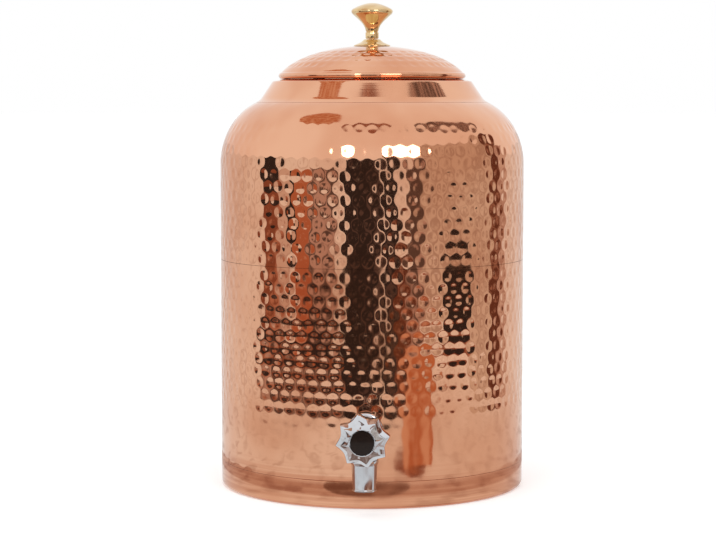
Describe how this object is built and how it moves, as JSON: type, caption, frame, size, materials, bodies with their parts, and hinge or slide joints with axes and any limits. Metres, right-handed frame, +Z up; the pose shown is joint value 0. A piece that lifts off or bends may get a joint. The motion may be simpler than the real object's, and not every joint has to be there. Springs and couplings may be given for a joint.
{
  "type": "water dispenser",
  "caption": "Hammered copper water tank with a lift-off lid, a brass lid knob and a chromed screw-down tap at the foot of its wall.",
  "frame": {"origin": "centre of the flat base, on the surface that the dispenser stands on", "axes": "+Z up along the axis of the tank; -Y is the front, where the tap stands out of the wall"},
  "size_m": [0.215, 0.2712, 0.3414],
  "materials": {
    "copper": null,
    "brass": "polished turned brass",
    "chrome": "bright chrome plate",
    "steel": "plain stainless steel",
    "rubber": "matt black rubber",
    "badge": "glossy near-black enamel disc, bare"
  },
  "bodies": {
    "tank": {"base_pan": "copper", "lower_shell": "copper", "upper_shell": "copper", "neck_collar": "copper", "tap_body": "chrome", "tap_spout": "chrome", "outer_gasket": "rubber", "inner_gasket": "rubber", "clamp_washer": "steel", "lock_nut": "steel", "bonnet_seal": "rubber", "bonnet": "chrome"},
    "valve": {"jumper": "brass", "valve_washer": "rubber"},
    "handle": {"spindle": "brass", "spindle_o_ring": "rubber", "tap_knob": "chrome", "handle_screw": "steel", "knob_badge": "badge"},
    "lid": {"lid_dome": "copper", "lid_plug_ring": "copper", "knob_rose": "brass", "lid_knob": "brass", "lid_knob_washer": "steel", "lid_knob_screw": "steel"}
  },
  "joints": [
    {"name": "lid_lift", "type": "slide", "parent": "tank", "child": "lid", "axis": [0, 0, 1], "range_m": [0, 0.12]},
    {"name": "valve_travel", "type": "slide", "parent": "tank", "child": "valve", "axis": [0, -1, 0], "range_m": [0, 0.00263]},
    {"name": "knob_turn", "type": "hinge", "parent": "valve", "child": "handle", "pos_m": [0, -0.14, 0.054], "axis": [0, -1, 0], "range_deg": [0, 540]}
  ],
  "couplings": [
    {"joint": "valve_travel", "follows": "knob_turn", "m_per_rad": 0.00027852}
  ]
}
